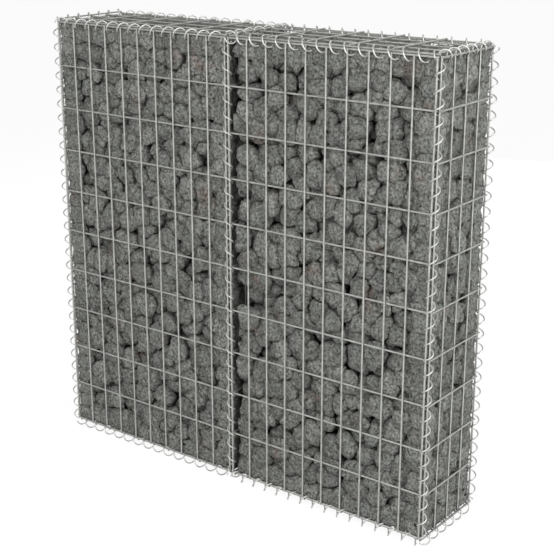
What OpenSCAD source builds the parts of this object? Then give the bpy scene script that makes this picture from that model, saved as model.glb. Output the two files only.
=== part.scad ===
// Gabion wall: two bays of welded wire mesh, laced along every edge with spiral wires and filled with stone.
// X runs along the wall, Y from the front (-Y) to the back, Z up from the ground. Millimetres.

/* [Wall] */
// Length of the panels of one of the two bays
panel_length = 500; // [300:50:1200]
// Width of the panels across the wall
panel_depth = 200; // [150:50:500]
// Height of the panels
panel_height = 1000; // [400:100:1500]

/* [Mesh] */
// Diameter of the mesh wires
mesh_wire = 3.5; // [3:0.1:4]
// Spacing of the upright wires
cell_width = 50; // [45:1:75]
// Spacing of the level wires
cell_height = 100; // [90:1:150]
// How far the edge wire of a panel stays back from the corner line
edge_back = 4.5; // [4:0.1:5.5]

/* [Spirals] */
// Diameter of the spiral wire
spiral_wire = 3; // [2.5:0.1:3.2]
// Outer diameter of a spiral
spiral_size = 27.4; // [26:0.1:30]
// Longest length of one turn, shortened to suit the mesh
spiral_turn = 34; // [30:0.5:36]

/* [Stone fill] */
// Free height between the stone and the lid
fill_drop = 5; // [4:1:60]
// Space between the stone and the mesh wires
fill_room = 0.4; // [0.3:0.1:5]

/* [Hidden] */

GALVANISED = [0.74, 0.75, 0.74];
STONE = [0.45, 0.45, 0.43];

// Welded wires sink a tenth of their thickness into each other.
weld = 0.9 * mesh_wire;
// Eight-sided bars of the full thickness across their flats
bar_r = mesh_wire / 2 / cos(180 / 8);

// Panels run between the centres of their edge wires, and the corner lines lie outside them.
side_back = edge_back + mesh_wire;
bay_length = panel_length + 2 * edge_back;
wall_depth = panel_depth + 2 * side_back;
wall_height = panel_height + 2 * edge_back;
cells_x = max(2, round(panel_length / cell_width));
cells_y = max(2, round(panel_depth / cell_width));
cells_z = max(2, round(panel_height / cell_height));
step_x = panel_length / cells_x;
step_y = panel_depth / cells_y;
step_z = panel_height / cells_z;

// Spirals: half circles in planes that lean to and fro, so that every half turn climbs half a pitch
wide_r = (spiral_size - spiral_wire) / 2;
pitch_z = step_z / ceil(step_z / spiral_turn);
pitch_x = 2 * step_x / ceil(2 * step_x / spiral_turn);
pitch_y = 2 * step_y / ceil(2 * step_y / spiral_turn);
turns_z = round(panel_height / pitch_z);
turns_x = floor(panel_length / pitch_x + 0.01);
turns_y = floor(panel_depth / pitch_y + 0.01);
function narrow_r(pitch) = sqrt(wide_r * wide_r - pitch * pitch / 16);
function reach(pitch) = sqrt((wide_r * wide_r + pow(narrow_r(pitch), 2)) / 2) + spiral_wire / 2;

// Each spiral hangs on the inner faces of its two edge wires, with a little play.
// How far its axis may stand outside the line midway between wires that lie apart by 2 * e across it
play = 0.35;
both_r = (spiral_wire + mesh_wire) / 2;
function hang(pitch, e) = (narrow_r(pitch) - both_r) * sqrt(1 - pow(e / (wide_r - both_r), 2)) - play;
skew = (side_back - edge_back) / 2 / sqrt(2);
corner_out = (hang(pitch_z, (edge_back + side_back) / 2 / sqrt(2)) - skew) / sqrt(2);
end_out = hang(pitch_y, (weld + edge_back) / sqrt(2)) / sqrt(2) + (weld - edge_back) / 2;

// The wall stands on the lowest points of its bottom spirals.
lift = reach(pitch_y) + end_out;
along_drop = lift - spiral_size / 2;
top = lift + wall_height;
panel_z = lift + edge_back;
half = wall_depth / 2;

along_y = half - side_back + narrow_r(pitch_x) - both_r - play;
seam_y = half - side_back + narrow_r(pitch_z) - both_r - play;
corner_x = bay_length - edge_back / 2 + corner_out;
corner_y = half - side_back / 2 + corner_out;
end_x = bay_length + end_out;

module bar(length) {
  rotate([0, 0, 180 / 8])
    cylinder(h = length, r = bar_r, $fn = 8);
}

// A welded panel in the XZ plane: uprights at y = 0 and level wires behind them at y = side * weld.
module mesh_panel(columns, dx, rows, dz, side) {
  for (i = [0 : columns])
    translate([i * dx, 0, -mesh_wire / 2])
      bar(rows * dz + mesh_wire);
  for (j = [0 : rows])
    translate([-mesh_wire / 2, side * weld, j * dz])
      rotate([0, 90, 0])
        bar(columns * dx + mesh_wire);
}

// A spiral along Z that starts at its side towards +X, climbing by the right hand or the left
module spiral(half_turns, pitch, hand) {
  flat_r = narrow_r(pitch);
  lean = atan(pitch / 4 / flat_r);
  for (k = [0 : half_turns - 1])
    translate([0, 0, (k + 0.5) * pitch / 2])
      rotate([0, 0, k % 2 == 0 ? 180 : 0])
        rotate([0, -lean, 0])
          rotate([0, 0, hand > 0 ? 180 : 0])
            rotate_extrude(angle = 180, $fn = 48)
              translate([wide_r, 0])
                circle(r = spiral_wire / 2, $fn = 24);
  for (k = [0 : half_turns])
    translate([k % 2 == 0 ? flat_r : -flat_r, 0, k * pitch / 2])
      rotate([90, 0, 0])
        cylinder(h = 2, r = spiral_wire / 2 + 0.1, center = true, $fn = 24);
}

// Upright spiral at a corner or seam that starts at the angle, a part of a turn above the panel's foot.
// Its strands cross between the level wires.
module upright_spiral(x, y, angle, hand, start, half_turns) {
  color(GALVANISED)
    translate([x, y, panel_z + start * pitch_z])
      rotate([0, 0, angle])
        spiral(half_turns, pitch_z, hand);
}

// Spiral along X over one bay that starts at its outer side, at the panel's edge wire
module along_spiral(x0, face, z, hand) {
  color(GALVANISED)
    translate([x0, face * along_y, z])
      rotate([0, 90, 0])
        rotate([0, 0, face * 90])
          spiral(2 * turns_x, pitch_x, hand);
}

// Spiral along Y across the wall's depth that starts at its inner side, turned by the angle from +X.
// Its strands pass beside the wires that end there.
module across_spiral(x, z, angle, hand) {
  color(GALVANISED)
    translate([x, side_back - half + 0.25 * pitch_y, z])
      rotate([-90, 0, 0])
        rotate([0, 0, angle])
          spiral(2 * turns_y - 1, pitch_y, hand);
}

module front_panel_left() {
  color(GALVANISED)
    translate([edge_back - bay_length, -half, panel_z])
      mesh_panel(cells_x, step_x, cells_z, step_z, 1);
}

module front_panel_right() {
  color(GALVANISED)
    translate([edge_back, -half, panel_z])
      mesh_panel(cells_x, step_x, cells_z, step_z, 1);
}

module back_panel_left() {
  color(GALVANISED)
    translate([edge_back - bay_length, half, panel_z])
      mesh_panel(cells_x, step_x, cells_z, step_z, -1);
}

module back_panel_right() {
  color(GALVANISED)
    translate([edge_back, half, panel_z])
      mesh_panel(cells_x, step_x, cells_z, step_z, -1);
}

// A panel across the wall's depth with its level wires on the given side
module cross_panel(x, side) {
  color(GALVANISED)
    translate([x, side_back - half, panel_z])
      rotate([0, 0, 90])
        mesh_panel(cells_y, step_y, cells_z, step_z, -side);
}

module left_end_panel() {
  cross_panel(-bay_length, -1);
}

module right_end_panel() {
  cross_panel(bay_length, 1);
}

module middle_panel() {
  cross_panel(0, 1);
}

// Lid and base panels: long wires along X, and a cross wire over every second upright on the outer side
module flat_panel(x0, z, side) {
  pairs = ceil(cells_x / 2);
  color(GALVANISED)
    translate([x0, side_back - half, z])
      rotate([90, 0, 90])
        flat_wires(pairs, side);
}

module flat_wires(pairs, side) {
  for (i = [0 : cells_y])
    translate([i * step_y, 0, -mesh_wire / 2])
      bar(panel_length + mesh_wire);
  for (j = [0 : pairs])
    translate([-mesh_wire / 2, side * weld, min(j * 2 * step_x, panel_length)])
      rotate([0, 90, 0])
        bar(panel_depth + mesh_wire);
}

module lid_left() {
  flat_panel(edge_back - bay_length, top, 1);
}

module lid_right() {
  flat_panel(edge_back, top, 1);
}

module base_left() {
  flat_panel(edge_back - bay_length, lift, -1);
}

module base_right() {
  flat_panel(edge_back, lift, -1);
}

module spiral_front_left_corner() {
  upright_spiral(-corner_x, -corner_y, 225, -1, 0.3, 2 * turns_z - 1);
}

module spiral_front_right_corner() {
  upright_spiral(corner_x, -corner_y, 315, 1, 0.3, 2 * turns_z - 1);
}

module spiral_back_left_corner() {
  upright_spiral(-corner_x, corner_y, 135, -1, 0, 2 * turns_z);
}

module spiral_back_right_corner() {
  upright_spiral(corner_x, corner_y, 45, 1, 0, 2 * turns_z);
}

module spiral_front_seam() {
  upright_spiral(0, -seam_y, 90, -1, 0.6, 2 * turns_z - 2);
}

module spiral_back_seam() {
  upright_spiral(0, seam_y, -90, -1, 0.6, 2 * turns_z - 2);
}

module spiral_top_front_left() {
  along_spiral(edge_back - bay_length, -1, top + along_drop, -1);
}

module spiral_top_front_right() {
  along_spiral(edge_back, -1, top + along_drop, 1);
}

module spiral_top_back_left() {
  along_spiral(edge_back - bay_length, 1, top + along_drop, -1);
}

module spiral_top_back_right() {
  along_spiral(edge_back, 1, top + along_drop, 1);
}

module spiral_top_left_end() {
  across_spiral(-end_x, top + end_out, 45, -1);
}

module spiral_top_middle() {
  across_spiral(0, top + end_out, 135, 1);
}

module spiral_top_right_end() {
  across_spiral(end_x, top + end_out, 135, 1);
}

module spiral_bottom_front_left() {
  along_spiral(edge_back - bay_length, -1, lift - along_drop, 1);
}

module spiral_bottom_front_right() {
  along_spiral(edge_back, -1, lift - along_drop, -1);
}

module spiral_bottom_back_left() {
  along_spiral(edge_back - bay_length, 1, lift - along_drop, 1);
}

module spiral_bottom_back_right() {
  along_spiral(edge_back, 1, lift - along_drop, -1);
}

module spiral_bottom_left_end() {
  across_spiral(-end_x, lift - end_out, -45, 1);
}

module spiral_bottom_middle() {
  across_spiral(0, lift - end_out, -135, -1);
}

module spiral_bottom_right_end() {
  across_spiral(end_x, lift - end_out, -135, -1);
}

// The fill rests on the base wires, and its edges stay clear of the spirals.
fill_x = mesh_wire / 2 + weld + fill_room;
fill_length = bay_length - 2 * fill_x;
fill_depth = wall_depth - 2 * (mesh_wire / 2 + weld + fill_room);
fill_height = wall_height - mesh_wire / 2 - fill_drop;
fill_edge = spiral_size / 2;

module cut_corners(w, h, c) {
  polygon([[c, 0], [w - c, 0], [w, c], [w, h - c], [w - c, h], [c, h], [0, h - c], [0, c]]);
}

// The packed stone of one bay as one mass with its corners broken
module stone_mass() {
  intersection() {
    linear_extrude(fill_height)
      cut_corners(fill_length, fill_depth, fill_edge);
    translate([0, fill_depth, 0])
      rotate([90, 0, 0])
        linear_extrude(fill_depth)
          cut_corners(fill_length, fill_height, fill_edge);
    rotate([90, 0, 90])
      linear_extrude(fill_length)
        cut_corners(fill_depth, fill_height, fill_edge);
  }
}

module stone_fill_left() {
  color(STONE)
    translate([fill_x - bay_length, -fill_depth / 2, lift + mesh_wire / 2])
      stone_mass();
}

module stone_fill_right() {
  color(STONE)
    translate([fill_x, -fill_depth / 2, lift + mesh_wire / 2])
      stone_mass();
}

front_panel_left();
front_panel_right();
back_panel_left();
back_panel_right();
left_end_panel();
right_end_panel();
middle_panel();
lid_left();
lid_right();
base_left();
base_right();
spiral_front_left_corner();
spiral_front_right_corner();
spiral_back_left_corner();
spiral_back_right_corner();
spiral_front_seam();
spiral_back_seam();
spiral_top_front_left();
spiral_top_front_right();
spiral_top_back_left();
spiral_top_back_right();
spiral_top_left_end();
spiral_top_middle();
spiral_top_right_end();
spiral_bottom_front_left();
spiral_bottom_front_right();
spiral_bottom_back_left();
spiral_bottom_back_right();
spiral_bottom_left_end();
spiral_bottom_middle();
spiral_bottom_right_end();
stone_fill_left();
stone_fill_right();
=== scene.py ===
"""Gabion wall: mesh panels from the CAD frame, coils wound along the edges, and bays packed with stones."""

import math

import bpy
import numpy as np
from mathutils import Matrix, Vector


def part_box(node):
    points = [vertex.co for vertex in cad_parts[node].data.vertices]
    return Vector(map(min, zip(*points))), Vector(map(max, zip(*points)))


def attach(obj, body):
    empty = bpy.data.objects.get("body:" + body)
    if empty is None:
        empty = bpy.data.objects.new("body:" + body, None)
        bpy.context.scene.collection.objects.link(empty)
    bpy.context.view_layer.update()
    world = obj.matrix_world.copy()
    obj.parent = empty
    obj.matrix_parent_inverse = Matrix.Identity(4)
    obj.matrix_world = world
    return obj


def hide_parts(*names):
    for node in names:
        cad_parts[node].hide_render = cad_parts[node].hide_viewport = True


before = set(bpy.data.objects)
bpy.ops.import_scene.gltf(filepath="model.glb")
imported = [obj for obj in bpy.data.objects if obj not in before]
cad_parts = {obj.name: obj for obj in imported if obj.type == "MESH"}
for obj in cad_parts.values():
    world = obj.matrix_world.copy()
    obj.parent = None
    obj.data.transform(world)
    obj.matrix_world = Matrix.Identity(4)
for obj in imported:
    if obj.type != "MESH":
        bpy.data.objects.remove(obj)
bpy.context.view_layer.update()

MM = 0.001
X, Y, Z = 0, 1, 2


def linear(code):
    """An sRGB hex colour as linear RGBA."""
    parts = [int(code[i:i + 2], 16) / 255 for i in (1, 3, 5)]
    return (*[c / 12.92 if c <= 0.04045 else ((c + 0.055) / 1.055) ** 2.4 for c in parts], 1.0)


def add(tree, kind, inputs=None, stops=(), **settings):
    """Adds a node with its settings, sets or links its inputs, and places the stops of a colour ramp."""
    made = tree.nodes.new(kind)
    for name, value in settings.items():
        setattr(made, name, value)
    for name, value in (inputs or {}).items():
        if isinstance(value, bpy.types.NodeSocket):
            tree.links.new(value, made.inputs[name])
        else:
            made.inputs[name].default_value = value
    points = made.color_ramp.elements if stops else ()
    while len(points) < len(stops):
        points.new(0.5)
    for point, (place, code) in zip(points, stops):
        point.position = place
        point.color = linear(code)
    return made


def new_material(name):
    """An empty material and its node tree."""
    material = bpy.data.materials.new(name)
    material.use_nodes = True
    material.node_tree.nodes.clear()
    return material, material.node_tree


def deselect():
    if bpy.context.object and bpy.context.object.mode != "OBJECT":
        bpy.ops.object.mode_set(mode="OBJECT")
    bpy.ops.object.select_all(action="DESELECT")


def discard(start):
    """Deletes an object that was only the start of others, with its mesh."""
    mesh = start.data
    bpy.data.objects.remove(start)
    bpy.data.meshes.remove(mesh)


# Camera, fitted to the wire crossings of the front and right end
LOOKS_DOWN = math.radians(17.881)
LOOKS_LEFT = math.radians(37.232)
camera_data = bpy.data.cameras.new("camera")
camera = bpy.data.objects.new("camera", camera_data)
bpy.context.scene.collection.objects.link(camera)
camera.location = (1.6322, -2.0805, 1.3215)
camera.rotation_euler = (math.pi / 2 - LOOKS_DOWN, 0, LOOKS_LEFT)
camera_data.sensor_width = 36
camera_data.lens = 78.98
camera_data.clip_end = 60
bpy.context.scene.camera = camera


# Galvanised wire: a dull zinc skin on drawn steel, light grey with a faint cloudy spangle
def galvanised(name, low, high, rough):
    material, tree = new_material(name)
    place = add(tree, "ShaderNodeTexCoord").outputs["Object"]
    # clouds about 12 mm apart, so that they show on a wire of 3 mm
    cloud = add(tree, "ShaderNodeTexNoise",
                {"Vector": place, "Scale": 1 / (12 * MM), "Detail": 3.0, "Roughness": 0.6})
    tone = add(tree, "ShaderNodeValToRGB", {"Fac": cloud.outputs["Fac"]}, stops=[(0.3, low), (0.7, high)])
    dull = add(tree, "ShaderNodeMapRange",
               {"Value": cloud.outputs["Fac"], "From Min": 0.3, "From Max": 0.7,
                "To Min": rough - 0.06, "To Max": rough + 0.08})
    # drips and grains of zinc about 1.5 mm apart
    grain = add(tree, "ShaderNodeTexNoise", {"Vector": place, "Scale": 1 / (1.5 * MM), "Detail": 2.0})
    bump = add(tree, "ShaderNodeBump",
               {"Height": grain.outputs["Fac"], "Strength": 0.15, "Distance": 0.1 * MM})
    skin = add(tree, "ShaderNodeBsdfPrincipled",
               {"Base Color": tone.outputs["Color"], "Roughness": dull.outputs["Result"],
                "Metallic": 0.75, "Normal": bump.outputs["Normal"]})
    add(tree, "ShaderNodeOutputMaterial", {"Surface": skin.outputs["BSDF"]})
    return material


# Broken stone: hard grey rock split into lumps, rough and matt, with dark and pale grains
def broken_stone():
    material, tree = new_material("broken_grey_stone")
    place = add(tree, "ShaderNodeTexCoord").outputs["Object"]
    own = add(tree, "ShaderNodeAttribute", attribute_name="stone_tone")
    # weathered patches about 25 mm across
    patch = add(tree, "ShaderNodeTexNoise",
                {"Vector": place, "Scale": 1 / (25 * MM), "Detail": 4.0, "Roughness": 0.6})
    patches = add(tree, "ShaderNodeValToRGB", {"Fac": patch.outputs["Fac"]},
                  stops=[(0.3, "#cecece"), (0.7, "#f4f4f3")])
    # a faint red-brown bloom on a stone here and there
    bloom = add(tree, "ShaderNodeTexNoise",
                {"Vector": place, "Scale": 1 / (70 * MM), "Detail": 3.0, "Roughness": 0.55})
    blooms = add(tree, "ShaderNodeValToRGB", {"Fac": bloom.outputs["Fac"]},
                 stops=[(0.60, "#ffffff"), (0.74, "#f6dfda")])
    # mineral grains, drawn 6 mm apart because finer ones are lost at this distance
    grain = add(tree, "ShaderNodeTexNoise",
                {"Vector": place, "Scale": 1 / (6 * MM), "Detail": 5.0, "Roughness": 0.8})
    grains = add(tree, "ShaderNodeValToRGB", {"Fac": grain.outputs["Fac"]},
                 stops=[(0.36, "#3e3e3c"), (0.5, "#c2c2bf"), (0.64, "#ffffff")])
    colour = own.outputs["Color"]
    for layer in (patches, blooms, grains):
        mixed = add(tree, "ShaderNodeMix", {"Factor": 1.0, "A": colour, "B": layer.outputs["Color"]},
                    data_type="RGBA", blend_type="MULTIPLY")
        colour = mixed.outputs["Result"]
    # split faces: chips about 9 mm across under grit of about 6 mm
    chip = add(tree, "ShaderNodeTexNoise",
               {"Vector": place, "Scale": 1 / (9 * MM), "Detail": 6.0, "Roughness": 0.7})
    chips = add(tree, "ShaderNodeBump", {"Height": chip.outputs["Fac"], "Strength": 1.0, "Distance": 8 * MM})
    grit = add(tree, "ShaderNodeBump",
               {"Height": grain.outputs["Fac"], "Strength": 0.6, "Distance": 2 * MM,
                "Normal": chips.outputs["Normal"]})
    rock = add(tree, "ShaderNodeBsdfPrincipled",
               {"Base Color": colour, "Roughness": 0.92, "Specular IOR Level": 0.25,
                "Normal": grit.outputs["Normal"]})
    add(tree, "ShaderNodeOutputMaterial", {"Surface": rock.outputs["BSDF"]})
    return material


mesh_finish = galvanised("galvanised_mesh_wire", "#858682", "#a0a19d", 0.50)
spiral_finish = galvanised("galvanised_spiral_wire", "#90918e", "#acacaa", 0.45)
stone_finish = broken_stone()

for name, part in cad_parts.items():
    part.data.materials.clear()
    if name.startswith("spiral"):
        part.data.materials.append(spiral_finish)
    elif name.startswith("stone"):
        part.data.materials.append(stone_finish)
    else:
        part.data.materials.append(mesh_finish)


# Spiral wires: smooth wound coils, hung on the edge wires that they lace together
COIL_WIRE = 3 * MM
# three turns to a mesh cell of 100 mm
TURN = 100 * MM / 3
# corners round the wire's section and steps in a turn
WIRE_SIDES = 10
TURN_STEPS = 20


def recalculate_normals():
    """Turns the faces of the mesh in edit mode outwards, and leaves edit mode."""
    bpy.ops.mesh.select_all(action="SELECT")
    bpy.ops.mesh.normals_make_consistent(inside=False)
    bpy.ops.object.mode_set(mode="OBJECT")


def wind(radius, turns):
    """A right-handed coil that climbs along Z from its side towards +X."""
    climb = math.atan(TURN / (2 * math.pi * radius))
    deselect()
    bpy.ops.mesh.primitive_circle_add(vertices=WIRE_SIDES, radius=COIL_WIRE / 2, location=(radius, 0, 0),
                                      rotation=(climb - math.pi / 2, 0, 0))
    coil = bpy.context.object
    bpy.ops.object.transform_apply(location=True, rotation=True, scale=True)
    screw = coil.modifiers.new("wind", "SCREW")
    screw.axis = "Z"
    screw.angle = 2 * math.pi * turns
    screw.screw_offset = TURN * turns
    screw.steps = screw.render_steps = round(TURN_STEPS * turns)
    bpy.ops.object.modifier_apply(modifier=screw.name)
    bpy.ops.object.mode_set(mode="EDIT")
    bpy.ops.mesh.select_all(action="SELECT")
    bpy.ops.mesh.fill_holes(sides=0)
    recalculate_normals()
    bpy.ops.object.shade_smooth_by_angle(angle=math.radians(60))
    return coil


# How a coil along each axis lies: the directions of its own X, Y and Z
LIES = {"x": ((0, 1, 0), (0, 0, 1), (1, 0, 0)),
        "y": ((0, 0, 1), (1, 0, 0), (0, 1, 0)),
        "z": ((1, 0, 0), (0, 1, 0), (0, 0, 1))}


def lace(edge, coil, axis, place, hand, part):
    """Copies a coil to an edge, wound to the right (1) or left (-1), its start turned by a part of a turn."""
    deselect()
    piece = bpy.data.objects.new("coil_" + edge, coil.data.copy())
    bpy.context.scene.collection.objects.link(piece)
    bpy.context.view_layer.objects.active = piece
    piece.select_set(True)
    lies = Matrix(LIES[axis]).transposed().to_4x4()
    piece.matrix_world = (Matrix.Translation(place) @ lies
                          @ Matrix.Rotation(2 * math.pi * part, 4, "Z") @ Matrix.Diagonal((1, hand, 1, 1)))
    bpy.ops.object.transform_apply(location=True, rotation=True, scale=True)
    bpy.ops.object.mode_set(mode="EDIT")
    recalculate_normals()
    piece.data.materials.append(spiral_finish)
    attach(piece, "root")
    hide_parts("spiral_" + edge)


# Centre lines of the panels' edge wires, and the underside of the lid
MESH_WIRE = 3.5 * MM
panel_low, panel_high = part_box("front_panel_right")
BAY_START = panel_low[X] + MESH_WIRE / 2
BAY_END = panel_high[X] - MESH_WIRE / 2
PANEL_FOOT = panel_low[Z] + MESH_WIRE / 2
PANEL_TOP = panel_high[Z] - MESH_WIRE / 2
PANEL_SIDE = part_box("right_end_panel")[1][Y] - MESH_WIRE / 2
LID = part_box("lid_right")[0][Z]

# Radius of each kind of coil to the middle of its wire, as small as the wires inside it allow
CORNER_R = 9.35 * MM
SEAM_R = 9.0 * MM
TOP_R = 11.2 * MM
TOP_END_R = 9.4 * MM
TOP_MIDDLE_R = 9.2 * MM
FOOT_R = 10.6 * MM
FOOT_MIDDLE_R = 10.8 * MM

# Turns of the coils, and how much of them the upright coils leave out to clear the level ones
TURNS_UP = (PANEL_TOP - PANEL_FOOT) / TURN
TURNS_ALONG = (BAY_END - BAY_START) / TURN
TURNS_ACROSS = 2 * PANEL_SIDE / TURN
CORNER_SHORT = 0.1
SEAM_SHORT = 0.35
SEAM_LATE = 0.1

# Where the middle of each kind of coil lies: outside the edge wires, by the lid or on the ground
CORNER_X = BAY_END + 5.4 * MM
CORNER_Y = PANEL_SIDE + 5.7 * MM
SEAM_Y = PANEL_SIDE + 5.6 * MM
TOP_Y = PANEL_SIDE + 6.3 * MM
TOP_Z = LID - 2.8 * MM
TOP_END_X = BAY_END + 4 * MM
TOP_END_Z = LID + 1.1 * MM
TOP_MIDDLE_Z = LID + 1.2 * MM
FOOT_Y = PANEL_SIDE + 5.7 * MM
FOOT_Z = FOOT_R + COIL_WIRE / 2
FOOT_END_X = BAY_END + 6 * MM
FOOT_MIDDLE_X = 1.2 * MM
FOOT_MIDDLE_Z = FOOT_MIDDLE_R + COIL_WIRE / 2

corner_coil = wind(CORNER_R, TURNS_UP - CORNER_SHORT)
seam_coil = wind(SEAM_R, TURNS_UP - SEAM_SHORT)
top_coil = wind(TOP_R, TURNS_ALONG)
foot_coil = wind(FOOT_R, TURNS_ALONG)
top_end_coil = wind(TOP_END_R, TURNS_ACROSS)
top_middle_coil = wind(TOP_MIDDLE_R, TURNS_ACROSS)
foot_end_coil = wind(FOOT_R, TURNS_ACROSS)
foot_middle_coil = wind(FOOT_MIDDLE_R, TURNS_ACROSS)

# Each coil starts at such a part of a turn that its strands pass between the wires that end at its edge
for edge, x, y, part in (("front_left_corner", -1, -1, 0.896), ("front_right_corner", 1, -1, 0.604),
                         ("back_left_corner", -1, 1, 0.292), ("back_right_corner", 1, 1, 0.208)):
    lace(edge, corner_coil, "z", (x * CORNER_X, y * CORNER_Y, PANEL_FOOT), x, part)
for edge, y, part in (("front_seam", -1, 0.754), ("back_seam", 1, 0.254)):
    lace(edge, seam_coil, "z", (0, y * SEAM_Y, PANEL_FOOT + SEAM_LATE * TURN), -1, part)
for face, y, part in (("front", -1, 0.5), ("back", 1, 0.0)):
    for level, coil, out, z, hand in (("top", top_coil, TOP_Y, TOP_Z, 1),
                                      ("bottom", foot_coil, FOOT_Y, FOOT_Z, -1)):
        lace("%s_%s_left" % (level, face), coil, "x", (-BAY_END, y * out, z), -hand, part)
        lace("%s_%s_right" % (level, face), coil, "x", (BAY_START, y * out, z), hand, part)
lace("top_left_end", top_end_coil, "y", (-TOP_END_X, -PANEL_SIDE, TOP_END_Z), -1, 0.875)
lace("top_middle", top_middle_coil, "y", (0, -PANEL_SIDE, TOP_MIDDLE_Z), 1, 0.875)
lace("top_right_end", top_end_coil, "y", (TOP_END_X, -PANEL_SIDE, TOP_END_Z), 1, 0.625)
lace("bottom_left_end", foot_end_coil, "y", (-FOOT_END_X, -PANEL_SIDE, FOOT_Z), 1, 0.875)
lace("bottom_middle", foot_middle_coil, "y", (FOOT_MIDDLE_X, -PANEL_SIDE, FOOT_MIDDLE_Z), -1, 0.604)
lace("bottom_right_end", foot_end_coil, "y", (FOOT_END_X, -PANEL_SIDE, FOOT_Z), -1, 0.625)

for coil in (corner_coil, seam_coil, top_coil, foot_coil,
             top_end_coil, top_middle_coil, foot_end_coil, foot_middle_coil):
    discard(coil)


# Stones: their centres are strewn in a bay and pushed apart, and each stone fills the room round its centre
def ball(cuts):
    """A cube cut up and blown up to a ball: its unit directions and faces, as the start of every stone."""
    deselect()
    bpy.ops.mesh.primitive_cube_add(size=2)
    start = bpy.context.object
    bpy.ops.object.mode_set(mode="EDIT")
    bpy.ops.mesh.select_all(action="SELECT")
    bpy.ops.mesh.subdivide(number_cuts=cuts)
    bpy.ops.transform.tosphere(value=1.0)
    bpy.ops.object.mode_set(mode="OBJECT")
    directions = np.array([v.co[:] for v in start.data.vertices])
    directions /= np.linalg.norm(directions, axis=1, keepdims=True)
    faces = np.array([f.vertices[:] for f in start.data.polygons])
    discard(start)
    return directions, faces


# A stone within SHOWN of a wall is fine, and one deeper in the bay is plain
FINE = ball(4)
PLAIN = ball(2)
SHOWN = 34 * MM

# Usual distance between stones, number strewn in a bay, and their least distance from its walls
STONE_GAP = 40 * MM
STREWN = 1360
INSET = 13 * MM
# Stones held in rows along the edges: their distance, and how far one may lie out of its row
ROW_GAP = 0.92 * STONE_GAP
ROW_PLAY = 5 * MM
# Rounds of pushing, and the part of an overlap that one round takes away
ROUNDS = 50
PUSH = 0.3
# How far a stone grows at its neighbours' cost, as an area
GREED = 240 * MM * MM


def spread(rng, low, high, loose):
    """Stone centres in a bay, pushed apart until they lie about one gap from each other.

    A row of stones is held along each edge, so that the corners are filled, but not along the loose wall.
    """
    inner = [low + INSET, high - INSET]
    seeds = [rng.uniform(*inner, (STREWN, 3))]
    least, most = [np.tile(inner[0], (STREWN, 1))], [np.tile(inner[1], (STREWN, 1))]
    for along, first, second in ((Z, X, Y), (X, Y, Z), (Y, X, Z)):
        number = round((high[along] - low[along]) / ROW_GAP)
        for ends in ((0, 0), (0, 1), (1, 0), (1, 1)):
            sides = list(zip((first, second), ends))
            if loose in sides:
                continue
            row = np.empty((number, 3))
            row[:, along] = np.linspace(inner[0][along], inner[1][along], number)
            for axis, end in sides:
                row[:, axis] = inner[end][axis] + rng.uniform(0, ROW_PLAY, number) * (1 - 2 * end)
            lower, upper = row.copy(), row.copy()
            lower[:, along], upper[:, along] = inner[0][along], inner[1][along]
            seeds.append(row)
            least.append(lower)
            most.append(upper)
    seeds, least, most = np.concatenate(seeds), np.concatenate(least), np.concatenate(most)
    for _ in range(ROUNDS):
        away = seeds[:, None] - seeds[None]
        far = np.linalg.norm(away, axis=2) + np.eye(len(seeds))
        push = np.clip(STONE_GAP - far, 0, None) / far
        np.fill_diagonal(push, 0)
        seeds = np.clip(seeds + PUSH * (away * push[:, :, None]).sum(1), least, most)
    return seeds


# Walls of a bay as (axis, side)
FRONT, BACK = (Y, -1), (Y, 1)
LEFT, RIGHT = (X, -1), (X, 1)
DOWN, UP = (Z, -1), (Z, 1)
# Room that the spirals take from the edges of a bay, at its outer edges and at the seam
EDGE_LEG = 3 * MM
SEAM_LEG = 6 * MM


def broken_edges(left_leg, right_leg):
    """The edges of a bay that its spirals take up, with the room that each needs."""
    pairs = []
    for face in (FRONT, BACK):
        pairs += [(face, LEFT, left_leg), (face, RIGHT, right_leg)]
        pairs += [(face, DOWN, EDGE_LEG), (face, UP, EDGE_LEG)]
    for face in (LEFT, RIGHT):
        pairs += [(face, DOWN, EDGE_LEG), (face, UP, EDGE_LEG)]
    return pairs


def bay_walls(low, high, edges):
    """The faces that hold the stones in: the box and its broken edges, as (normal, limit) pairs."""
    walls = []
    for axis in (X, Y, Z):
        for side, limit in ((-1, low[axis]), (1, high[axis])):
            normal = np.zeros(3)
            normal[axis] = side
            walls.append((normal, side * limit))
    for (a, side_a), (b, side_b), leg in edges:
        normal = np.zeros(3)
        normal[a], normal[b] = side_a, side_b
        corner = side_a * (high if side_a > 0 else low)[a] + side_b * (high if side_b > 0 else low)[b]
        walls.append((normal / math.sqrt(2), (corner - leg) / math.sqrt(2)))
    return walls


# A stone's roughness: waves in random directions, the same for every stone but met at another place
WAVES = 16


def ripple(rng, size):
    """Waves of about the given size, as their directions and phases."""
    waves = rng.normal(size=(WAVES, 3))
    waves *= 2 * math.pi / size / np.linalg.norm(waves, axis=1, keepdims=True)
    waves *= rng.uniform(0.7, 1.4, (WAVES, 1))
    return waves, rng.uniform(0, 2 * math.pi, WAVES)


rough = np.random.default_rng(7)
LUMPS = ripple(rough, 22 * MM)
PITS = ripple(rough, 11 * MM)
LUMP_HEIGHT = 2.0 * MM
EDGE_LUMP_HEIGHT = 1.5 * MM
PIT_HEIGHT = 1.1 * MM


def swell(points, ripple_waves):
    """How high the waves stand at each point."""
    waves, phases = ripple_waves
    return np.sin(points @ waves.T + phases).sum(1) / math.sqrt(WAVES / 2)


# Neighbours and walls that shape a stone lie within these distances, and it keeps a least size
NEAR = 130 * MM
WALL_NEAR = 100 * MM
LEAST_REACH = 10 * MM
LEAST_ROOM = 8 * MM
# A stone is in an edge when two walls are this close, unless the loose wall is close as well
EDGE_ROOM = 22 * MM
LOOSE_ROOM = 30 * MM
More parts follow.
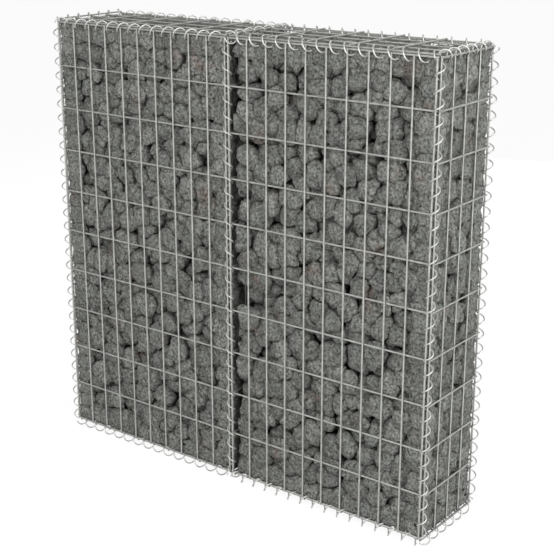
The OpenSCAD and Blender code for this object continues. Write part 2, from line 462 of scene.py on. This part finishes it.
# How far a stone's flat side leans from the wall, and how far a stone lies back from it
EDGE_TILT = 0.06
FACE_TILT = 0.14
RECESS = 9 * MM
# How sharp a stone's corners are, where a high power gives a sharp corner
EDGE_POWER = 18
FACE_POWER = (5, 9)
EDGE_WALL_POWER = 14
FACE_WALL_POWER = 5
# Growth that presses a stone on its neighbours, and distance of its split faces in stone sizes
GROWTH = (1.05, 1.11)
SPLIT = (1.05, 1.5)
SPLITS = 3


def against_neighbours(i, seeds, weight):
    """Directions and distances of the midway faces between a stone and its neighbours."""
    away = np.delete(seeds, i, axis=0) - seeds[i]
    far = np.linalg.norm(away, axis=1)
    near = far < NEAR
    away, far = away[near], far[near]
    midway = (far ** 2 + weight[i] - np.delete(weight, i)[near]) / (2 * far)
    return away / far[:, None], np.maximum(midway, LEAST_REACH)


def against_walls(rng, walls, rooms, edge):
    """Directions and distances of a stone's flat sides on the walls near it."""
    normals, reach = [], []
    for (normal, _), room in zip(walls, rooms):
        if room < WALL_NEAR:
            tilt = normal + rng.normal(scale=EDGE_TILT if edge else FACE_TILT, size=3)
            normals.append(tilt / np.linalg.norm(tilt))
            reach.append(max(room - (0 if edge else rng.uniform(0, RECESS)), LEAST_ROOM))
    return np.array(normals), np.array(reach)


def one_stone(rng, i, seeds, weight, walls, loose):
    """A stone's points and faces: it fills the room between its neighbours and the walls, rounded off."""
    here = seeds[i]
    rooms = np.array([limit - normal @ here for normal, limit in walls])
    # a stone in an edge stands squarely against both of its walls, but not beside the loose wall
    beside_loose = loose and rooms[2 * loose[0] + loose[1]] < LOOSE_ROOM
    edge = (rooms[:6] < EDGE_ROOM).sum() > 1 and not beside_loose
    normals, reach = against_neighbours(i, seeds, weight)
    wall_normals, wall_reach = against_walls(rng, walls, rooms, edge)
    # split faces, but out of reach on an edge stone
    size = np.sort(reach)[:6].mean()
    splits = rng.normal(size=(SPLITS, 3))
    splits /= np.linalg.norm(splits, axis=1, keepdims=True)
    normals = np.concatenate([normals, splits])
    reach = np.concatenate([reach, size * (rng.uniform(*SPLIT, SPLITS) + edge)])
    # the sides are blended by their power into one rounded stone
    directions, faces = FINE if rooms.min() < SHOWN else PLAIN
    power = EDGE_POWER if edge else rng.uniform(*FACE_POWER)
    inward = (np.maximum(directions @ normals.T / reach, 0) ** power).sum(1) ** (1 / power)
    inward /= rng.uniform(*GROWTH)
    if len(wall_reach):
        flat = np.maximum(directions @ wall_normals.T / wall_reach, 0).max(1)
        power = EDGE_WALL_POWER if edge else FACE_WALL_POWER
        inward = (inward ** power + flat ** power) ** (1 / power)
    r = 1 / inward
    surface = directions * r[:, None] + rng.uniform(-5, 5, 3)
    lump_height = EDGE_LUMP_HEIGHT if edge else LUMP_HEIGHT
    r += lump_height * swell(surface, LUMPS) + PIT_HEIGHT * swell(surface, PITS)
    points = here + directions * r[:, None]
    for normal, limit in walls:
        over = points @ normal - limit
        points -= np.maximum(over, 0)[:, None] * normal
    return points, faces


# Tones of grey rock, and how much a stone is darker or paler than its tone
TONES = [linear(c)[:3] for c in ("#939592", "#9a9c98", "#8e908c", "#9d9e9b", "#8c8e8a")]
SHADE = (0.97, 1.03)
# Places along the back where the stones have sunk below the lid, and by how much
HOLLOWS = [(400 * MM, 90 * MM), (62 * MM, 90 * MM)]
HOLLOW_R = 30 * MM
SUNK = 14 * MM


def fill_bay(name, seed, low, high, edges, loose):
    """Packs one bay with stones and joins them into a front and a back piece."""
    rng = np.random.default_rng(seed)
    seeds = spread(rng, low, high, loose)
    weight = rng.uniform(-1, 1, len(seeds)) * GREED
    walls = bay_walls(low, high, edges)
    sunk_walls = bay_walls(low, high - [0, 0, SUNK], edges)
    for part, chosen in (("front", seeds[:, Y] < 0), ("back", seeds[:, Y] >= 0)):
        points, faces, tones, count = [], [], [], 0
        for i in np.flatnonzero(chosen):
            sunk = min(math.dist(seeds[i, :2], hollow) for hollow in HOLLOWS) < HOLLOW_R
            p, f = one_stone(rng, i, seeds, weight, sunk_walls if sunk else walls, loose)
            shade = np.array(TONES[rng.integers(len(TONES))]) * rng.uniform(*SHADE)
            points.append(p)
            faces.append(f + count)
            tones.append(np.tile([*shade, 1.0], (len(p), 1)))
            count += len(p)
        mesh = bpy.data.meshes.new("stones_%s_%s" % (name, part))
        mesh.from_pydata(np.concatenate(points).tolist(), [], np.concatenate(faces).tolist())
        mesh.color_attributes.new("stone_tone", "FLOAT_COLOR", "POINT")
        mesh.color_attributes["stone_tone"].data.foreach_set("color", np.concatenate(tones).ravel())
        mesh.polygons.foreach_set("use_smooth", np.ones(len(mesh.polygons), dtype=bool))
        mesh.materials.append(stone_finish)
        piece = bpy.data.objects.new(mesh.name, mesh)
        bpy.context.scene.collection.objects.link(piece)
        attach(piece, "root")
        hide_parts("stone_fill_" + name)


# The stones take up the room of the CAD fill, let out along the wall to the next panels' wires.
# The right bay's stones lie loosely along the seam and stay back from it.
LET_OUT = np.array([2.7 * MM, 0, 0])
SEAM_BACK = np.array([2 * MM, 0, 0])
LOOSE_SEAM = (X, 0)
left_low, left_high = (np.array(corner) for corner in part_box("stone_fill_left"))
right_low, right_high = (np.array(corner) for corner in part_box("stone_fill_right"))
fill_bay("left", 11, left_low - LET_OUT, left_high + LET_OUT, broken_edges(EDGE_LEG, SEAM_LEG), None)
fill_bay("right", 23, right_low + SEAM_BACK, right_high + LET_OUT, broken_edges(SEAM_LEG, EDGE_LEG),
         LOOSE_SEAM)


# Floor: white matt paint that glows to the camera, so that it fades into the white surroundings
deselect()
bpy.ops.mesh.primitive_plane_add(size=24, location=(0, 0, 0))
floor = bpy.context.object
floor.name = "floor"
floor_paint, tree = new_material("white_studio_floor")
paths = add(tree, "ShaderNodeLightPath").outputs
matt = add(tree, "ShaderNodeBsdfDiffuse", {"Color": linear("#f4f4f4")})
glow = add(tree, "ShaderNodeEmission", {"Color": linear("#ffffff"), "Strength": 1.0})
seen = add(tree, "ShaderNodeMath", {0: paths["Is Camera Ray"], 1: 0.92}, operation="MULTIPLY")
mixed = add(tree, "ShaderNodeMixShader",
            {"Fac": seen.outputs["Value"], 1: matt.outputs["BSDF"], 2: glow.outputs["Emission"]})
add(tree, "ShaderNodeOutputMaterial", {"Surface": mixed.outputs["Shader"]})
floor.data.materials.append(floor_paint)

# White surroundings, full white where they are seen or mirrored and dimmer as a light
world = bpy.data.worlds.new("studio")
bpy.context.scene.world = world
world.use_nodes = True
tree = world.node_tree
tree.nodes.clear()
paths = add(tree, "ShaderNodeLightPath").outputs
shown = add(tree, "ShaderNodeMath", {0: paths["Is Camera Ray"], 1: paths["Is Glossy Ray"]},
            operation="MAXIMUM")
shown = add(tree, "ShaderNodeMath", {0: shown.outputs["Value"], 1: paths["Is Transmission Ray"]},
            operation="MAXIMUM")
level = add(tree, "ShaderNodeMapRange", {"Value": shown.outputs["Value"], "To Min": 0.55, "To Max": 1.0})
sky = add(tree, "ShaderNodeBackground", {"Color": linear("#ffffff"), "Strength": level.outputs["Result"]})
add(tree, "ShaderNodeOutputWorld", {"Surface": sky.outputs["Background"]})


def lamp(name, place, aim, size, power):
    """A round soft light of a size in metres and a power in watts, turned towards its aim."""
    data = bpy.data.lights.new(name, "AREA")
    data.shape = "DISK"
    data.size = size
    data.energy = power
    made = bpy.data.objects.new(name, data)
    bpy.context.scene.collection.objects.link(made)
    made.location = place
    turn = np.array(aim) - np.array(place)
    flat = math.hypot(turn[X], turn[Y])
    made.rotation_euler = (math.atan2(flat, -turn[Z]), 0, math.atan2(-turn[X], turn[Y]))


lamp("key_softbox", (0.3, -3.2, 2.8), (0, 0, 0.5), 2.2, 136)
lamp("side_softbox", (3.2, -0.8, 2.2), (0.3, 0, 0.5), 1.8, 155)
lamp("back_softbox", (-1.2, 3.2, 1.1), (0, 0, 0.5), 2.0, 60)

bpy.context.scene.view_settings.view_transform = "Standard"
